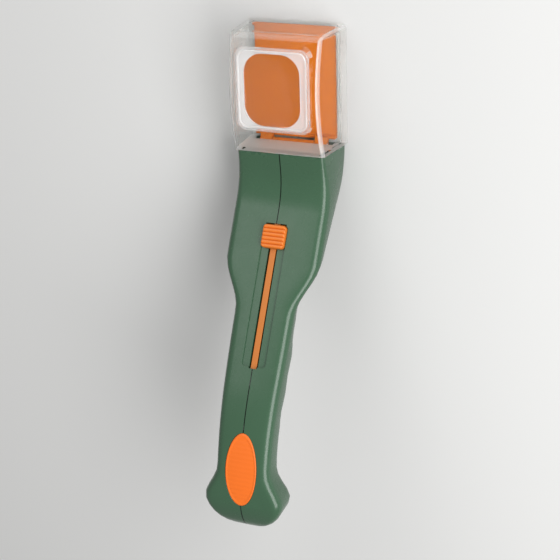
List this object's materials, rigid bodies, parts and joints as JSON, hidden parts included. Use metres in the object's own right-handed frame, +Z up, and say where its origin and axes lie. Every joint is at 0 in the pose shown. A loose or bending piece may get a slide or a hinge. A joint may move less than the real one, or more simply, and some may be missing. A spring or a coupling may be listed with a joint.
{
  "type": "bug catcher",
  "caption": "Hand-held bug catcher: clear arched chamber with a magnifying lens on top and an open base, a hollow curved handle, and a thumb slide that draws a trap door under the chamber.",
  "frame": {"origin": "on the plane of the chamber's base rim, under the middle of the whole length and width", "axes": "+Z up from the base rim, +Y towards the chamber's front, +X to the right seen from behind the handle"},
  "size_m": [0.0644, 0.2964, 0.1105],
  "materials": {
    "handle_plastic": "satin moulded, grey green",
    "clear_plastic": "clear, polished",
    "lens_plastic": "clear lens in a milky frame",
    "door_plastic": "satin moulded, orange",
    "button_plastic": "satin moulded, orange, ridged",
    "strip_plastic": "satin moulded, orange",
    "inlay_rubber": "soft moulded, orange, ribbed",
    "screw_steel": "plain steel"
  },
  "bodies": {
    "handle": {"handle_right_shell": "handle_plastic", "handle_left_shell": "handle_plastic", "capture_chamber": "clear_plastic", "magnifier_lens": "lens_plastic", "grip_inlay": "inlay_rubber", "slot_strip": "strip_plastic", "case_screw_1": "screw_steel", "case_screw_2": "screw_steel", "case_screw_3": "screw_steel", "case_screw_4": "screw_steel"},
    "slide": {"slide_carriage": "door_plastic", "thumb_button": "button_plastic", "hinge_pin": "screw_steel"},
    "door": {"trap_door": "door_plastic"}
  },
  "joints": [
    {"name": "thumb_slide", "type": "slide", "parent": "handle", "child": "slide", "axis": [0, -0.8729, 0.4879], "range_m": [0, 0.072]},
    {"name": "door_hinge", "type": "hinge", "parent": "slide", "child": "door", "pos_m": [0, 0.07435, 0.009], "axis": [-1, 0, 0], "range_deg": [0, 31]}
  ],
  "couplings": [
    {"joint": "door_hinge", "follows": "thumb_slide", "rad_per_m": 7.4501}
  ]
}
